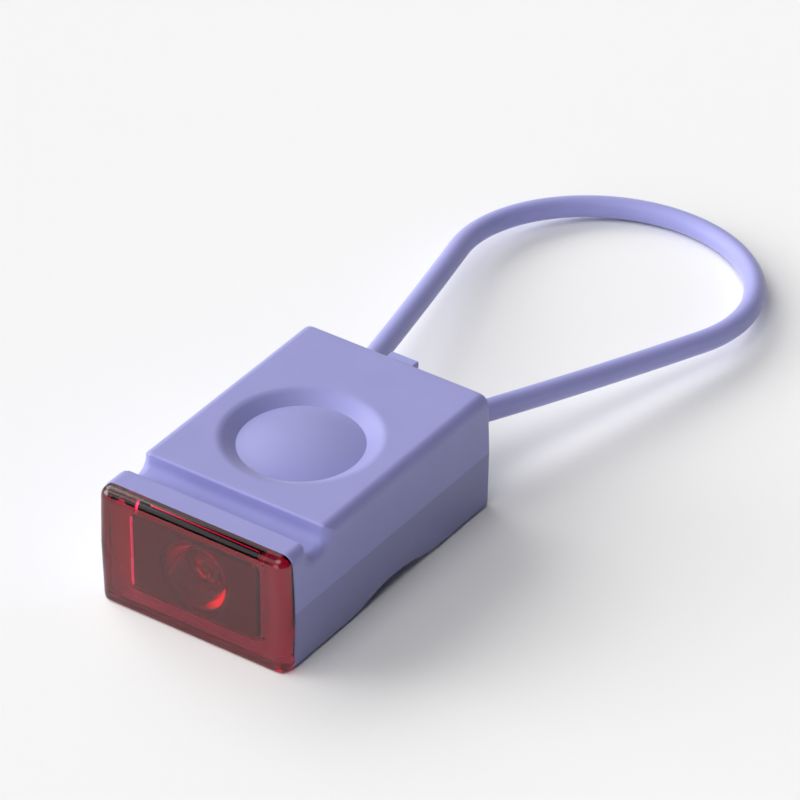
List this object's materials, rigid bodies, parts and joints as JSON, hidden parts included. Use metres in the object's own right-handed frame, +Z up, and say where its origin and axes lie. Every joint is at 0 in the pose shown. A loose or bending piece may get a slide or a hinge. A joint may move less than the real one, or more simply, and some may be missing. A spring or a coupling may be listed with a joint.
{
  "type": "bicycle rear light",
  "caption": "Soft-cased block rear light with a red front lens, a domed push button, a tube saddle and a round elastic strap loop that hooks behind the lens.",
  "frame": {"origin": "under the middle of the button, at the middle of the tube saddle, on the plane of the base", "axes": "+X to the right seen from the lens, +Y back along the body towards the strap, +Z up"},
  "size_m": [0.0464, 0.1204, 0.0182],
  "materials": {
    "silicone": "matte lavender silicone",
    "red_clear": "polished clear red",
    "white_rubber": "matte white",
    "black_plastic": "matte black",
    "clear_plastic": "polished clear",
    "led": "encapsulated LED",
    "board": "solder-masked board",
    "grey_plastic": "moulded grey",
    "steel": "bright steel",
    "brass": "plated pins",
    "pouch": "laminated pouch",
    "tape": "foam tape",
    "lead_sheath": "insulated wire",
    "ceramic": "ceramic chip"
  },
  "bodies": {
    "light": {"sleeve": "silicone", "strap_roots": "silicone", "lens": "red_clear", "lens_gasket": "white_rubber", "optic_holder": "black_plastic", "collimator": "clear_plastic", "led": "led", "led_board": "board", "capsule_tray": "grey_plastic", "capsule_lid": "grey_plastic", "capsule_screws": "steel", "main_board": "board", "header_block": "black_plastic", "header_pins": "brass", "cell": "pouch", "cell_tape": "tape", "cell_leads": "lead_sheath", "switch_case": "black_plastic", "usb_shell": "steel", "usb_tongue": "black_plastic", "controller_chip": "black_plastic", "charger_chip": "black_plastic", "chip_capacitors": "ceramic", "charge_light": "led"},
    "button": {"push_button": "silicone"},
    "switch": {"switch_plunger": "grey_plastic"},
    "flap": {"port_flap": "silicone"},
    "strap": {"strap_loop": "silicone"}
  },
  "joints": [
    {"name": "button_press", "type": "slide", "parent": "light", "child": "button", "axis": [0, 0, -1], "range_m": [0, 0.0006], "stiffness_N_per_m": 150},
    {"name": "plunger_press", "type": "slide", "parent": "light", "child": "switch", "axis": [0, 0, -1], "range_m": [0, 0.0006]},
    {"name": "flap_swing", "type": "hinge", "parent": "light", "child": "flap", "pos_m": [0, 0.0223, 0.0074], "axis": [-1, 0, 0], "range_deg": [0, 100], "stiffness_Nm_per_rad": 0.002},
    {"name": "strap_swing", "type": "hinge", "parent": "light", "child": "strap", "pos_m": [0, 0.02468, 0.0102], "axis": [1, 0, 0], "range_deg": [-80, 80], "stiffness_Nm_per_rad": 0.02, "deforming": ["strap_roots"]}
  ],
  "couplings": [
    {"joint": "plunger_press", "follows": "button_press", "ratio": 1}
  ]
}
